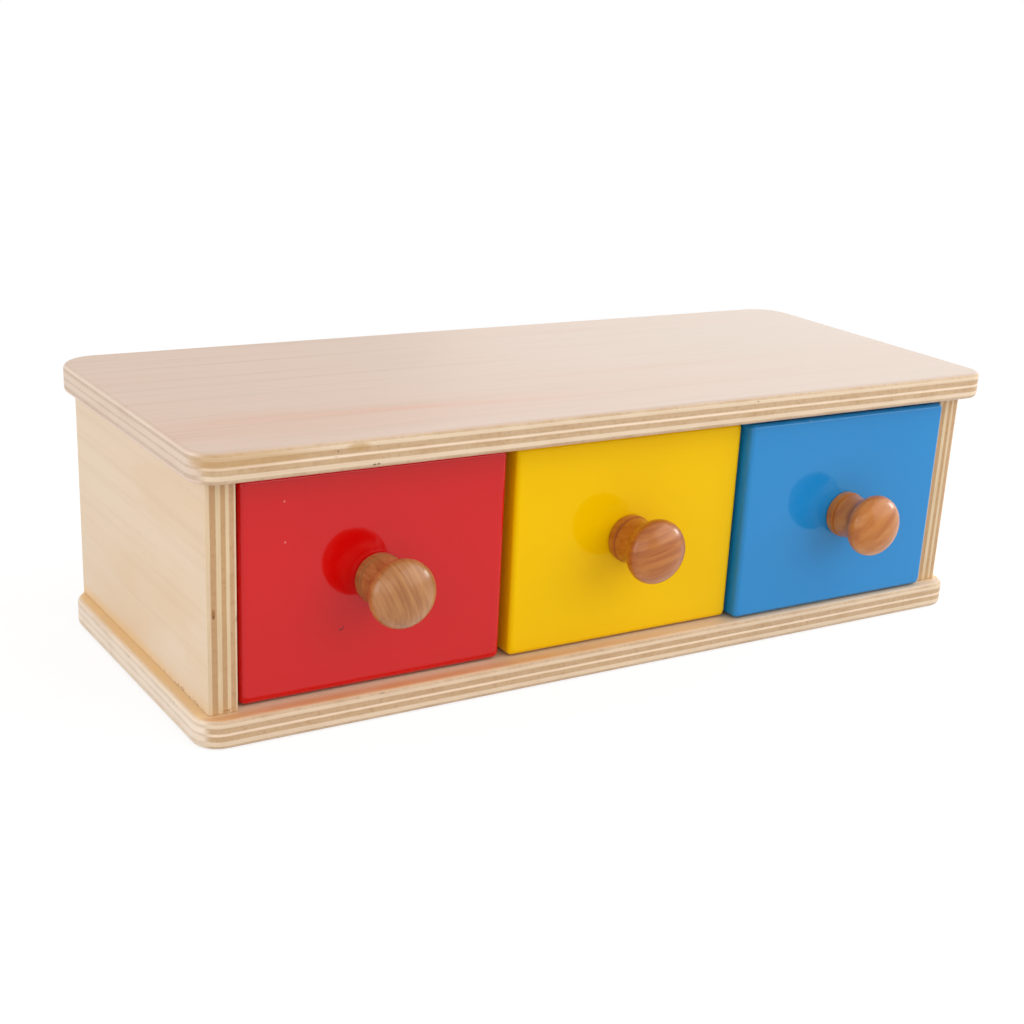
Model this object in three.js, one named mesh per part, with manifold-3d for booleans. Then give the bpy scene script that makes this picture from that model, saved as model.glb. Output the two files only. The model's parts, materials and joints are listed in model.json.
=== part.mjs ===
// Wooden drawer box: a plywood cabinet with three painted drawers side by side, each pulled by a turned knob.
// Millimetres. +X runs to the right, +Y to the back and +Z up.
// The origin lies on the floor, under the middle of the top board.
import * as THREE from 'three';
import { mergeVertices } from 'three/addons/utils/BufferGeometryUtils.js';
import Module from 'manifold-3d';

const wasm = await Module();
wasm.setup();

// Cabinet
const TOP_WIDTH = 360;
const TOP_DEPTH = 150;
const BOARD_THICKNESS = 11;
const BOARD_FRONT_CORNER_RADIUS = 10;
const BOARD_REAR_CORNER_RADIUS = 16;
const BOARD_EDGE_ROUND = 2;
const BASE_END_SETBACK = 1.5;
const BASE_FRONT_SETBACK = 3;
const SIDE_HEIGHT = 85.6;
const SIDE_END_INSET = 6.5;
const SIDE_FRONT_INSET = 9;
const SIDE_BACK_INSET = 5.5;
const SHARP_EDGE_EASE = 0.8;
const BACK_THICKNESS = 5;
const BACK_REBATE = 6;
const DIVIDER_THICKNESS = 9;
const DIVIDER_HOUSING = 4;

// Dowels between the sides and the two long boards
const DOWEL_DIAMETER = 6;
const DOWEL_LENGTH = 25;
const DOWEL_COVER = 4;
const DOWEL_EDGE_DISTANCE = 25;
const DOWEL_CHAMFER = 0.8;

// Drawers
const FRONT_THICKNESS = 11;
const FRONT_RECESS = 2.1;
const FRONT_EDGE_ROUND = 2;
const FRONT_CORNER_RADIUS = 2;
const FRONT_CORNER_RADIUS_ON_FACE = 1;
const WALL_THICKNESS = 7;
const WALL_TOP_ROUND = 1.5;
const WALL_HOUSING = 4;
const WALL_BACK_INSET = 6;
const WALL_BACK_HOUSING = 3;
const BOTTOM_THICKNESS = 4;
const BOTTOM_GROOVE = 3;
const BOTTOM_RAISE = 6;

// Turned knobs, measured outwards from the drawer front
const KNOB_FOOT_RADIUS = 9.6;
const KNOB_FOOT_THICKNESS = 4;
const KNOB_FOOT_ROUND = 0.8;
const KNOB_GROOVE_WIDTH = 0.6;
const KNOB_NECK_RADIUS = 9.4;
const KNOB_NECK_LENGTH = 6;
const KNOB_WAIST_RADIUS = 8.7;
const KNOB_FLARE_LENGTH = 8.1;
const KNOB_HEAD_RADIUS = 12.9;
const KNOB_DOME_HEIGHT = 7.7;

// Knob screws
const SCREW_SHANK_DIAMETER = 4;
const SCREW_BITE = 12;
const SCREW_POINT = 3;
const SCREW_HEAD_DIAMETER = 8.4;
const SCREW_HEAD_HEIGHT = 2.6;
const SCREW_RECESS_LENGTH = 4.6;
const SCREW_RECESS_WIDTH = 1;
const SCREW_RECESS_DEPTH = 1.5;

// Clearances
const JOINT_GAP = 0.2;
const DOWEL_GAP = 0.3;
const SCREW_GAP = 0.3;
const FRONT_SIDE_GAP = 1.4;
const FRONT_BOTTOM_GAP = 0.6;
const FRONT_TOP_GAP = 2.3;
const FRONT_STOP_GAP = 0.3;
const WALL_SIDE_GAP = 1.9;
const WALL_TOP_GAP = 5.3;
const WALL_RUNNING_GAP = 0.3;
const DRAWER_REAR_GAP = 3;

// Each drawer, from left to right, with its paint, how far it stands open and to the right of its bay's middle,
// and how far its knob sits to the right of the front's middle and above it
const DRAWERS = [
  { name: 'red', paint: 0xbe1416, open: 0, right: 0.3, knobRight: 0.2, knobUp: -0.7 },
  { name: 'yellow', paint: 0xeebf0c, open: 0.9, right: 1.4, knobRight: -0.3, knobUp: 0.2 },
  { name: 'blue', paint: 0x2f86c8, open: 5.8, right: -0.1, knobRight: 1.1, knobUp: -1.7 },
];

// How far a cut runs out past the face that it opens
const CUT_OVERRUN = 1;

// Facets on the round shapes
const CORNER_FACETS = 7;
const ROUND_FACETS = 4;
const EASE_FACETS = 2;
const KNOB_SIDES = 28;
const KNOB_CURVE_FACETS = 4;
const DOWEL_SIDES = 16;
const SCREW_SIDES = 16;

// Levels and planes that the sizes above lead to
const baseTop = BOARD_THICKNESS;
const topUnderside = baseTop + SIDE_HEIGHT;
const boardBack = TOP_DEPTH / 2;
const baseWidth = TOP_WIDTH - 2 * BASE_END_SETBACK;
const baseDepth = TOP_DEPTH - BASE_FRONT_SETBACK;
const sideFront = -TOP_DEPTH / 2 + SIDE_FRONT_INSET;
const sideBack = boardBack - SIDE_BACK_INSET;
const sideDepth = sideBack - sideFront;
const sideMiddle = TOP_WIDTH / 2 - SIDE_END_INSET - BOARD_THICKNESS / 2;
const innerHalf = sideMiddle - BOARD_THICKNESS / 2;
const backFront = sideBack - BACK_THICKNESS;
const frontPitch = (2 * innerHalf) / DRAWERS.length;
const bayWidth = (2 * innerHalf - (DRAWERS.length - 1) * DIVIDER_THICKNESS) / DRAWERS.length;
const bayPitch = bayWidth + DIVIDER_THICKNESS;
const frontFace = sideFront + FRONT_RECESS;
const frontRear = frontFace + FRONT_THICKNESS;
const dividerFront = frontRear + FRONT_STOP_GAP;

const frontWidth = frontPitch - 2 * FRONT_SIDE_GAP;
const frontHeight = SIDE_HEIGHT - FRONT_BOTTOM_GAP - FRONT_TOP_GAP;
const frontMiddle = baseTop + FRONT_BOTTOM_GAP + frontHeight / 2;
const boxWidth = bayWidth - 2 * WALL_SIDE_GAP;
const wallLow = baseTop + WALL_RUNNING_GAP;
const wallHigh = topUnderside - WALL_TOP_GAP;
const wallHeight = wallHigh - wallLow;
const wallRear = backFront - DRAWER_REAR_GAP;
const wallBackRear = wallRear - WALL_BACK_INSET;
const wallBackFront = wallBackRear - WALL_THICKNESS;
const bottomLow = wallLow + BOTTOM_RAISE;
const bottomHigh = bottomLow + BOTTOM_THICKNESS;

// Exact turns: FACE_FRONT stands up what is drawn in XY, POINT_FORWARD turns the Y axis to the front
const FACE_FRONT = new THREE.Matrix4().set(1, 0, 0, 0, 0, 0, -1, 0, 0, 1, 0, 0, 0, 0, 0, 1);
const POINT_FORWARD = new THREE.Matrix4().set(1, 0, 0, 0, 0, -1, 0, 0, 0, 0, -1, 0, 0, 0, 0, 1);

// Outline of a rectangle with rounded corners, anticlockwise and centred on the origin.
// The two upper corners may have a radius of their own.
function outline(width, height, radius, facets, upperRadius = radius) {
  const points = [];
  const corners = [[1, -1, radius], [1, 1, upperRadius], [-1, 1, upperRadius], [-1, -1, radius]];
  corners.forEach(([sx, sy, r], quarter) => {
    const arc = new THREE.EllipseCurve(
      sx * (width / 2 - r), sy * (height / 2 - r), r, r,
      (quarter - 1) * Math.PI / 2, quarter * Math.PI / 2);
    points.push(...arc.getPoints(facets));
  });
  return points;
}

// Closed solid through a stack of outlines, each given as its points and its level
function loft(rings) {
  const count = rings[0].points.length;
  const positions = rings.flatMap(({ points, level }) => points.flatMap((p) => [p.x, p.y, level]));
  const index = [];
  for (let k = 0; k + 1 < rings.length; k += 1) {
    for (let i = 0; i < count; i += 1) {
      const a = k * count + i;
      const b = k * count + (i + 1) % count;
      index.push(a, b, b + count, a, b + count, a + count);
    }
  }
  const last = (rings.length - 1) * count;
  THREE.ShapeUtils.triangulateShape(rings[0].points, []).forEach(([a, b, c]) => index.push(a, c, b));
  THREE.ShapeUtils.triangulateShape(rings.at(-1).points, []).forEach(([a, b, c]) => {
    index.push(last + a, last + b, last + c);
  });
  const geometry = new THREE.BufferGeometry();
  geometry.setAttribute('position', new THREE.Float32BufferAttribute(positions, 3));
  geometry.setIndex(index);
  return geometry;
}

// Quarter-round steps from an outline's full size in to its face: how far in, and how far along
function quarterRound(radius, facets) {
  return Array.from({ length: facets + 1 }, (_, i) => {
    const angle = (i / facets) * Math.PI / 2;
    return { inset: radius * (1 - Math.cos(angle)), along: radius * Math.sin(angle) };
  });
}

// Board lying flat from level 0, with round corners in plan and both edges rounded over
function roundedBoard(width, depth, thickness) {
  const ring = (inset, level) => ({
    points: outline(
      width - 2 * inset, depth - 2 * inset,
      BOARD_FRONT_CORNER_RADIUS - inset, CORNER_FACETS, BOARD_REAR_CORNER_RADIUS - inset),
    level,
  });
  const edge = quarterRound(BOARD_EDGE_ROUND, ROUND_FACETS);
  const lower = edge.map(({ inset, along }) => ring(inset, BOARD_EDGE_ROUND - along)).reverse();
  const upper = edge.map(({ inset, along }) => ring(inset, thickness - BOARD_EDGE_ROUND + along));
  return loft([...lower, ...upper]);
}

// Prism from one level to another over an outline
function prism(points, low, high) {
  return loft([{ points, level: low }, { points, level: high }]);
}

// Plain block between two corners
function block(x0, x1, y0, y1, z0, z1) {
  return new THREE.BoxGeometry(x1 - x0, y1 - y0, z1 - z0)
    .translate((x0 + x1) / 2, (y0 + y1) / 2, (z0 + z1) / 2);
}

// Solid of revolution about the Y axis, from a profile of [radius, height] pairs or points
function turned(profile, sides) {
  const points = profile.map((p) => (p.isVector2 ? p : new THREE.Vector2(p[0], p[1])));
  return new THREE.LatheGeometry(points, sides);
}

// Closed mesh as a solid for joining and cutting
function solid(geometry) {
  const bare = new THREE.BufferGeometry();
  bare.setAttribute('position', geometry.getAttribute('position'));
  if (geometry.index) bare.setIndex(geometry.index);
  const merged = mergeVertices(bare);
  const triangles = [];
  for (let i = 0; i < merged.index.count; i += 3) {
    const [a, b, c] = [0, 1, 2].map((k) => merged.index.getX(i + k));
    if (a !== b && b !== c && c !== a) triangles.push(a, b, c);
  }
  return new wasm.Manifold(new wasm.Mesh({
    numProp: 3,
    vertProperties: new Float32Array(merged.getAttribute('position').array),
    triVerts: new Uint32Array(triangles),
  }));
}

// Geometry with every one of the cutters taken out of it
function cut(geometry, cutters) {
  const rest = cutters.reduce((body, cutter) => body.subtract(solid(cutter)), solid(geometry));
  const mesh = rest.getMesh();
  const result = new THREE.BufferGeometry();
  result.setAttribute('position', new THREE.BufferAttribute(new Float32Array(mesh.vertProperties), 3));
  result.setIndex(new THREE.BufferAttribute(new Uint32Array(mesh.triVerts), 1));
  return result;
}

// Finishes
const PLYWOOD = { color: 0xe3c9a4, roughness: 0.55 };
const THIN_PLYWOOD = { color: 0xe6d0ae, roughness: 0.65 };
const HARDWOOD = { color: 0xc9975c, roughness: 0.6 };
const KNOB_WOOD = { color: 0xb87a45, roughness: 0.35 };
const STEEL = { color: 0xb9bbbd, roughness: 0.35, metalness: 1 };

// Named piece in a group
function add(group, name, geometry, finish) {
  const mesh = new THREE.Mesh(geometry, new THREE.MeshStandardMaterial(finish));
  mesh.name = name;
  group.add(mesh);
}

const ENDS = [{ name: 'left', sign: -1 }, { name: 'right', sign: 1 }];
const LEVELS = [
  { name: 'base', board: baseTop, sign: 1 },
  { name: 'top', board: topUnderside, sign: -1 },
];
const DOWEL_ROWS = [
  { name: 'front', y: sideFront + DOWEL_EDGE_DISTANCE },
  { name: 'rear', y: sideBack - DOWEL_EDGE_DISTANCE },
];

// Upright cylinder with chamfered ends
function dowelShape(radius, low, high, chamfer) {
  return turned([
    [0, low], [radius - chamfer, low], [radius, low + chamfer],
    [radius, high - chamfer], [radius - chamfer, high], [0, high],
  ], DOWEL_SIDES).applyMatrix4(FACE_FRONT);
}

// Every dowel's name, place and span, shared by the dowels and their holes
function dowelPlaces() {
  return ENDS.flatMap((end) => LEVELS.flatMap((level) => DOWEL_ROWS.map((row) => {
    const inBoard = level.board - level.sign * (BOARD_THICKNESS - DOWEL_COVER);
    const inSide = inBoard + level.sign * DOWEL_LENGTH;
    return {
      name: `${end.name}_dowel_${level.name}_${row.name}`,
      x: end.sign * sideMiddle,
      y: row.y,
      low: Math.min(inBoard, inSide),
      high: Math.max(inBoard, inSide),
    };
  })));
}

const dowels = dowelPlaces();
const dowelHoles = () => dowels.map(({ x, y, low, high }) => dowelShape(
  DOWEL_DIAMETER / 2 + DOWEL_GAP, low - DOWEL_GAP, high + DOWEL_GAP, DOWEL_CHAMFER).translate(x, y, 0));

// Middle of each divider
const dividerMiddles = DRAWERS.slice(1).map((_, i) => (i + 1 - DRAWERS.length / 2) * bayPitch);

// Grooves for the dividers, reaching into the top and the base
const dividerGrooves = () => dividerMiddles.map((x) => block(
  x - DIVIDER_THICKNESS / 2 - JOINT_GAP, x + DIVIDER_THICKNESS / 2 + JOINT_GAP,
  dividerFront - JOINT_GAP, backFront,
  baseTop - DIVIDER_HOUSING - JOINT_GAP, topUnderside + DIVIDER_HOUSING + JOINT_GAP));

// Cabinet: top, base, sides, back, dividers and dowels
function cabinet() {
  const group = new THREE.Group();
  const cutters = [...dividerGrooves(), ...dowelHoles()];
  const top = roundedBoard(TOP_WIDTH, TOP_DEPTH, BOARD_THICKNESS).translate(0, 0, topUnderside);
  add(group, 'top_board', cut(top, cutters), PLYWOOD);
  const base = roundedBoard(baseWidth, baseDepth, BOARD_THICKNESS)
    .translate(0, boardBack - baseDepth / 2, 0);
  add(group, 'base_board', cut(base, cutters), PLYWOOD);

  const backHalf = innerHalf + BACK_REBATE;
  const rebate = block(
    -backHalf, backHalf, backFront - JOINT_GAP, sideBack + CUT_OVERRUN,
    baseTop - CUT_OVERRUN, topUnderside + CUT_OVERRUN);
  ENDS.forEach(({ name, sign }) => {
    const plan = outline(BOARD_THICKNESS, sideDepth, SHARP_EDGE_EASE, EASE_FACETS);
    const side = prism(plan, baseTop, topUnderside)
      .translate(sign * sideMiddle, (sideFront + sideBack) / 2, 0);
    add(group, `${name}_side`, cut(side, [rebate, ...dowelHoles()]), PLYWOOD);
  });
  const back = block(
    -backHalf + JOINT_GAP, backHalf - JOINT_GAP, backFront, sideBack,
    baseTop + JOINT_GAP, topUnderside - JOINT_GAP);
  add(group, 'back_panel', back, THIN_PLYWOOD);

  ENDS.forEach(({ name }, i) => {
    const depth = backFront - JOINT_GAP - dividerFront;
    const plan = outline(DIVIDER_THICKNESS, depth, SHARP_EDGE_EASE, EASE_FACETS);
    const divider = prism(plan, baseTop - DIVIDER_HOUSING, topUnderside + DIVIDER_HOUSING)
      .translate(dividerMiddles[i], dividerFront + depth / 2, 0);
    add(group, `${name}_divider`, divider, PLYWOOD);
  });
  dowels.forEach(({ name, x, y, low, high }) => {
    add(group, name, dowelShape(DOWEL_DIAMETER / 2, low, high, DOWEL_CHAMFER).translate(x, y, 0), HARDWOOD);
  });
  return group;
}

// Sheet of the drawer's bottom, or the groove that takes it when grown by a gap on every side
function bottomSheet(middle, gap) {
  const half = boxWidth / 2 - WALL_THICKNESS + BOTTOM_GROOVE - JOINT_GAP + gap;
  return block(
    middle - half, middle + half, frontRear - BOTTOM_GROOVE + JOINT_GAP - gap, wallBackRear + gap,
    bottomLow - gap, bottomHigh + gap);
}

// Painted front: rounded over on its face and square behind.
// Its back has housings for the walls and a groove for the bottom.
function drawerFront(middle, boxMiddle, knobX, knobZ) {
  const slope = FRONT_CORNER_RADIUS_ON_FACE - FRONT_CORNER_RADIUS;
  const ring = ({ inset, along }) => ({
    points: outline(
      frontWidth - 2 * inset, frontHeight - 2 * inset,
      FRONT_CORNER_RADIUS + slope * inset / FRONT_EDGE_ROUND, ROUND_FACETS),
    level: FRONT_THICKNESS - FRONT_EDGE_ROUND + along,
  });
  const rounded = quarterRound(FRONT_EDGE_ROUND, ROUND_FACETS).map(ring);
  const front = loft([{ ...rounded[0], level: 0 }, ...rounded])
    .applyMatrix4(FACE_FRONT)
    .translate(middle, frontRear, frontMiddle);
  const housings = ENDS.map(({ sign }) => {
    const x = boxMiddle + sign * (boxWidth - WALL_THICKNESS) / 2;
    const half = WALL_THICKNESS / 2 + JOINT_GAP;
    return block(
      x - half, x + half, frontRear - WALL_HOUSING - JOINT_GAP, frontRear + CUT_OVERRUN,
      wallLow - JOINT_GAP, wallHigh + JOINT_GAP);
  });
  const holeRadius = SCREW_SHANK_DIAMETER / 2 + SCREW_GAP;
  const [inside, outside] = [-CUT_OVERRUN, FRONT_THICKNESS + CUT_OVERRUN];
  const hole = turned([[0, inside], [holeRadius, inside], [holeRadius, outside], [0, outside]], SCREW_SIDES)
    .applyMatrix4(POINT_FORWARD)
    .translate(knobX, frontRear, knobZ);
  return cut(front, [...housings, bottomSheet(boxMiddle, JOINT_GAP), hole]);
}

// Side wall of a drawer, with its top edges rounded, grooved for the bottom and housed for the back
function drawerWall(boxMiddle, sign) {
  const x = boxMiddle + sign * (boxWidth - WALL_THICKNESS) / 2;
  const section = outline(WALL_THICKNESS, wallHeight, SHARP_EDGE_EASE, EASE_FACETS, WALL_TOP_ROUND);
  const wall = prism(section, -wallRear, WALL_HOUSING - frontRear)
    .applyMatrix4(FACE_FRONT)
    .translate(x, 0, (wallLow + wallHigh) / 2);
  const groove = bottomSheet(boxMiddle, JOINT_GAP);
  const openRear = groove.clone().translate(0, wallRear - wallBackRear, 0);
  return cut(wall, [groove, openRear, backWall(boxMiddle, JOINT_GAP)]);
}

// Back wall of a drawer standing on the bottom, or its housing when grown by a gap
function backWall(boxMiddle, gap) {
  const half = boxWidth / 2 - WALL_THICKNESS + WALL_BACK_HOUSING - JOINT_GAP + gap;
  const low = bottomHigh + JOINT_GAP - gap;
  const high = wallHigh - WALL_TOP_ROUND + gap;
  return block(boxMiddle - half, boxMiddle + half, wallBackFront - gap, wallBackRear + gap, low, high);
}

// Knob profile from the pilot hole's floor out over the foot, a fine groove, the neck and the domed head
function knobProfile() {
  const neck = KNOB_FOOT_THICKNESS + KNOB_GROOVE_WIDTH;
  const waist = neck + KNOB_NECK_LENGTH;
  const widest = waist + KNOB_FLARE_LENGTH;
  const pilot = SCREW_SHANK_DIAMETER / 2 + SCREW_GAP;
  const path = new THREE.Path();
  path.moveTo(0, SCREW_BITE + SCREW_GAP);
  path.lineTo(pilot, SCREW_BITE + SCREW_GAP);
  path.lineTo(pilot, 0);
  const footRound = KNOB_FOOT_RADIUS - KNOB_FOOT_ROUND;
  path.lineTo(footRound, 0);
  path.absarc(footRound, KNOB_FOOT_ROUND, KNOB_FOOT_ROUND, -Math.PI / 2, 0);
  path.absarc(footRound, KNOB_FOOT_THICKNESS - KNOB_FOOT_ROUND, KNOB_FOOT_ROUND, 0, Math.PI / 2);
  path.lineTo(KNOB_NECK_RADIUS, neck);
  path.quadraticCurveTo(KNOB_WAIST_RADIUS, (neck + waist) / 2, KNOB_WAIST_RADIUS, waist);
  const flare = (waist + widest) / 2;
  path.bezierCurveTo(KNOB_WAIST_RADIUS, flare, KNOB_HEAD_RADIUS, flare, KNOB_HEAD_RADIUS, widest);
  path.absellipse(0, widest, KNOB_HEAD_RADIUS, KNOB_DOME_HEIGHT, 0, Math.PI / 2);
  const points = path.getPoints(KNOB_CURVE_FACETS);
  points.at(-1).x = 0;
  return points;
}

// Pan head screw along the knob's axis, its head against the back of the front
function knobScrew() {
  const shank = SCREW_SHANK_DIAMETER / 2;
  const path = new THREE.Path();
  path.moveTo(0, -SCREW_HEAD_HEIGHT);
  path.absellipse(0, 0, SCREW_HEAD_DIAMETER / 2, SCREW_HEAD_HEIGHT, -Math.PI / 2, 0);
  path.lineTo(shank, 0);
  path.lineTo(shank, FRONT_THICKNESS + SCREW_BITE - SCREW_POINT);
  path.lineTo(0, FRONT_THICKNESS + SCREW_BITE);
  const points = path.getPoints(ROUND_FACETS);
  points[0].x = 0;
  const [long, wide] = [SCREW_RECESS_LENGTH / 2, SCREW_RECESS_WIDTH / 2];
  const [low, high] = [-SCREW_HEAD_HEIGHT - CUT_OVERRUN, -SCREW_HEAD_HEIGHT + SCREW_RECESS_DEPTH];
  return cut(turned(points, SCREW_SIDES), [
    block(-long, long, low, high, -wide, wide),
    block(-wide, wide, low, high, -long, long),
  ]);
}

// One drawer with its seven pieces, standing as far open as it is shown
function drawer({ name, paint, open, right, knobRight, knobUp }, index) {
  const group = new THREE.Group();
  const place = index - (DRAWERS.length - 1) / 2;
  const middle = place * frontPitch + right;
  const boxMiddle = place * bayPitch + right;
  const knobX = middle + knobRight;
  const knobZ = frontMiddle + knobUp;
  group.position.y = -open;
  add(group, `${name}_front`, drawerFront(middle, boxMiddle, knobX, knobZ), { color: paint, roughness: 0.2 });
  ENDS.forEach((end) => {
    add(group, `${name}_wall_${end.name}`, drawerWall(boxMiddle, end.sign), THIN_PLYWOOD);
  });
  add(group, `${name}_wall_back`, backWall(boxMiddle, 0), THIN_PLYWOOD);
  add(group, `${name}_bottom`, bottomSheet(boxMiddle, 0), THIN_PLYWOOD);
  const knob = turned(knobProfile(), KNOB_SIDES).applyMatrix4(POINT_FORWARD);
  add(group, `${name}_knob`, knob.translate(knobX, frontFace, knobZ), KNOB_WOOD);
  const screw = knobScrew().applyMatrix4(POINT_FORWARD);
  add(group, `${name}_knob_screw`, screw.translate(knobX, frontRear, knobZ), STEEL);
  return group;
}

const drawerBox = new THREE.Group();
drawerBox.add(cabinet(), ...DRAWERS.map(drawer));

export default drawerBox;
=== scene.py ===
import json
import math

import bmesh
import bpy
from mathutils import Euler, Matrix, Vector


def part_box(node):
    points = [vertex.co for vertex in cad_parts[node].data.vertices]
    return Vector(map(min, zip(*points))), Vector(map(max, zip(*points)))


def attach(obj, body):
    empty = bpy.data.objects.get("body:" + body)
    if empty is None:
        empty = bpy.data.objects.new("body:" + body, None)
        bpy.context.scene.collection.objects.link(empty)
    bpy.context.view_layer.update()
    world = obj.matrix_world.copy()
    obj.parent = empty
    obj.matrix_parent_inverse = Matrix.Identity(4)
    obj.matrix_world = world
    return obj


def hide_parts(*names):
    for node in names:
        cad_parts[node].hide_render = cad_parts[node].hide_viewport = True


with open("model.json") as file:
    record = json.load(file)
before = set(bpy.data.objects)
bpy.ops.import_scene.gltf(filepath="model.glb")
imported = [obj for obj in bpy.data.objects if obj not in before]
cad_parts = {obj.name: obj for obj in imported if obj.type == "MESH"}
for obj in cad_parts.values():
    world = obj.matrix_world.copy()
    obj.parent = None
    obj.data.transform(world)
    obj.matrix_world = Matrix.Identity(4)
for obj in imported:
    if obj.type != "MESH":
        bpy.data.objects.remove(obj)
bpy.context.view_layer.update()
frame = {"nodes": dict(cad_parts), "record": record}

MM = 0.001
RECORD = frame["record"]
BODY_OF = {node: body for body, nodes in RECORD["behaviour"]["bodies"].items() for node in nodes}

DRAWERS = ("red", "yellow", "blue")
ENDS = ("left", "right")
DOWELS = [f"{end}_dowel_{level}_{row}"
          for end in ENDS for level in ("base", "top") for row in ("front", "rear")]

# Shapes, in metres
FRONT_CORNER = 10 * MM
REAR_CORNER = 16 * MM
BOARD_ROUND = 2 * MM
EASE = 0.8 * MM
FINE_EASE = 0.35 * MM
FRONT_CORNER_ROUND = 2 * MM
FRONT_ROUND = 2 * MM
WALL_TOP_ROUND = 1.5 * MM
SEAT_GAP = 0.2 * MM
DOWEL_GAP = 0.3 * MM
RUN_OUT = 1 * MM
SCREW_HOLE = 2.3 * MM
MERGE_GAP = 0.01 * MM

# Steps in the roundings, and when a direction counts as along an axis or aside from it
FRONT_CORNER_STEPS = 10
REAR_CORNER_STEPS = 14
BOARD_ROUND_STEPS = 6
PANEL_EASE_STEPS = 4
SMALL_ROUND_STEPS = 5
FINE_STEPS = 3
FRONT_ROUND_STEPS = 8
ROD_SIDES = 32
ALIGNED = 0.99
ASIDE = 0.5
QUARTER = math.pi / 2
SMOOTH_ANGLE = math.radians(35)


# Shader tools

def chip(red, green, blue):
    """Colour chip in screen values, as linear light."""
    parts = [value / 255 for value in (red, green, blue)]
    return [p / 12.92 if p <= 0.04045 else ((p + 0.055) / 1.055) ** 2.4 for p in parts] + [1.0]


class Wire:
    """One shader socket. Sums on values add Math nodes, and node() adds any other kind."""

    def __init__(self, tree, socket=None):
        self.tree = tree
        self.socket = socket

    def node(self, kind, settings=None, sockets=None, out=0):
        """Adds a node with its settings and its sockets' values or links, and gives one of its outputs."""
        made = self.tree.nodes.new(kind)
        for key, value in (settings or {}).items():
            if key == "stops":
                set_stops(made.color_ramp, value)
            else:
                setattr(made, key, value)
        for key, value in (sockets or {}).items():
            if isinstance(value, Wire):
                self.tree.links.new(value.socket, made.inputs[key])
            else:
                made.inputs[key].default_value = value
        return Wire(self.tree, made.outputs[out] if made.outputs else None)

    def other(self, out):
        """Another output of the same node."""
        return Wire(self.tree, self.socket.node.outputs[out])

    def math(self, operation, first, second=0.0):
        """Adds a Math node on one or two values."""
        return self.node("ShaderNodeMath", {"operation": operation}, {0: first, 1: second})

    def __add__(self, other):
        return self.math("ADD", self, other)

    __radd__ = __add__

    def __sub__(self, other):
        return self.math("SUBTRACT", self, other)

    def __rsub__(self, other):
        return self.math("SUBTRACT", other, self)

    def __mul__(self, other):
        return self.math("MULTIPLY", self, other)

    __rmul__ = __mul__

    def __pow__(self, other):
        return self.math("POWER", self, other)

    def __abs__(self):
        return self.math("ABSOLUTE", self)


def set_stops(ramp, stops):
    """Gives a colour ramp its stops, each a position and a colour."""
    while len(ramp.elements) > 1:
        ramp.elements.remove(ramp.elements[0])
    for index, (position, colour) in enumerate(stops):
        element = ramp.elements[0] if index == 0 else ramp.elements.new(position)
        element.position = position
        element.color = colour


def new_finish(name):
    """An empty material, the wire that its nodes start from and the place on the piece."""
    material = bpy.data.materials.new(name)
    material.use_nodes = True
    material.node_tree.nodes.clear()
    start = Wire(material.node_tree)
    return material, start, start.node("ShaderNodeTexCoord", out="Object")


def parts_of(vector, first="X"):
    """The parts of a vector, as the wire of one of them."""
    return vector.node("ShaderNodeSeparateXYZ", {}, {"Vector": vector}, out=first)


def facing(start, axis):
    """How far the surface faces along an axis."""
    return parts_of(start.node("ShaderNodeTexCoord", out="Normal"), axis)


def stretched(at, scale, shift=(0, 0, 0), turn=(0, 0, 0)):
    """Coordinates stretched, then turned, then shifted for a pattern."""
    return at.node("ShaderNodeMapping", {"vector_type": "POINT"},
                   {"Vector": at, "Location": shift, "Rotation": turn, "Scale": scale})


def shifted(at, by):
    """Coordinates moved by a vector."""
    return stretched(at, (1, 1, 1), by)


def turned(at, turn):
    """Coordinates turned about their origin."""
    return stretched(at, (1, 1, 1), turn=turn)


def noise(at, scale, detail=3.0, roughness=0.5, distortion=0.0, shift=(0, 0, 0)):
    """Noise with so many cells in each metre along each direction."""
    return at.node("ShaderNodeTexNoise", {}, {
        "Vector": stretched(at, scale, shift), "Scale": 1.0, "Detail": detail,
        "Roughness": roughness, "Distortion": distortion})


def band(value, low, high):
    """Smooth step from 0 at low to 1 at high."""
    return value.node("ShaderNodeMapRange", {"interpolation_type": "SMOOTHSTEP"},
                      {"Value": value, "From Min": low, "From Max": high})


# Share of a soft spot's half sizes that keeps its full strength
MARK_CORE = 0.35


def mark(at, centre, reach, slant=0):
    """Soft spot with half sizes about its centre, turned in plan: 1 in its middle, 0 outside."""
    straight = turned(shifted(at, -Vector(centre)), (0, 0, math.radians(-slant)))
    local = stretched(straight, [1 / r for r in reach])
    distance = at.node("ShaderNodeVectorMath", {"operation": "LENGTH"}, {0: local}, out="Value")
    return 1 - band(distance, MARK_CORE, 1.0)


def blend(share, first, second):
    """Mixes two colours."""
    return share.node("ShaderNodeMix", {"data_type": "RGBA"}, {0: share, 6: first, 7: second}, out=2)


def ramp(value, stops):
    """Colours in place of a value, between the stops."""
    return value.node("ShaderNodeValToRGB", {"stops": stops}, {"Fac": value})


def finish_with(start, material, colour, roughness, height, relief, constants):
    """Ends a material's nodes in one shader. The relief is the height's size in metres."""
    bump = start.node("ShaderNodeBump", {}, {"Strength": 1.0, "Distance": relief, "Height": height})
    sockets = {"Base Color": colour, "Roughness": roughness, "Normal": bump, **constants}
    shader = start.node("ShaderNodeBsdfPrincipled", {}, sockets)
    start.node("ShaderNodeOutputMaterial", {}, {"Surface": shader})
    return material


# Plywood: every layer is a slice of wood with its own direction, cut through by the shape of the piece

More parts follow.
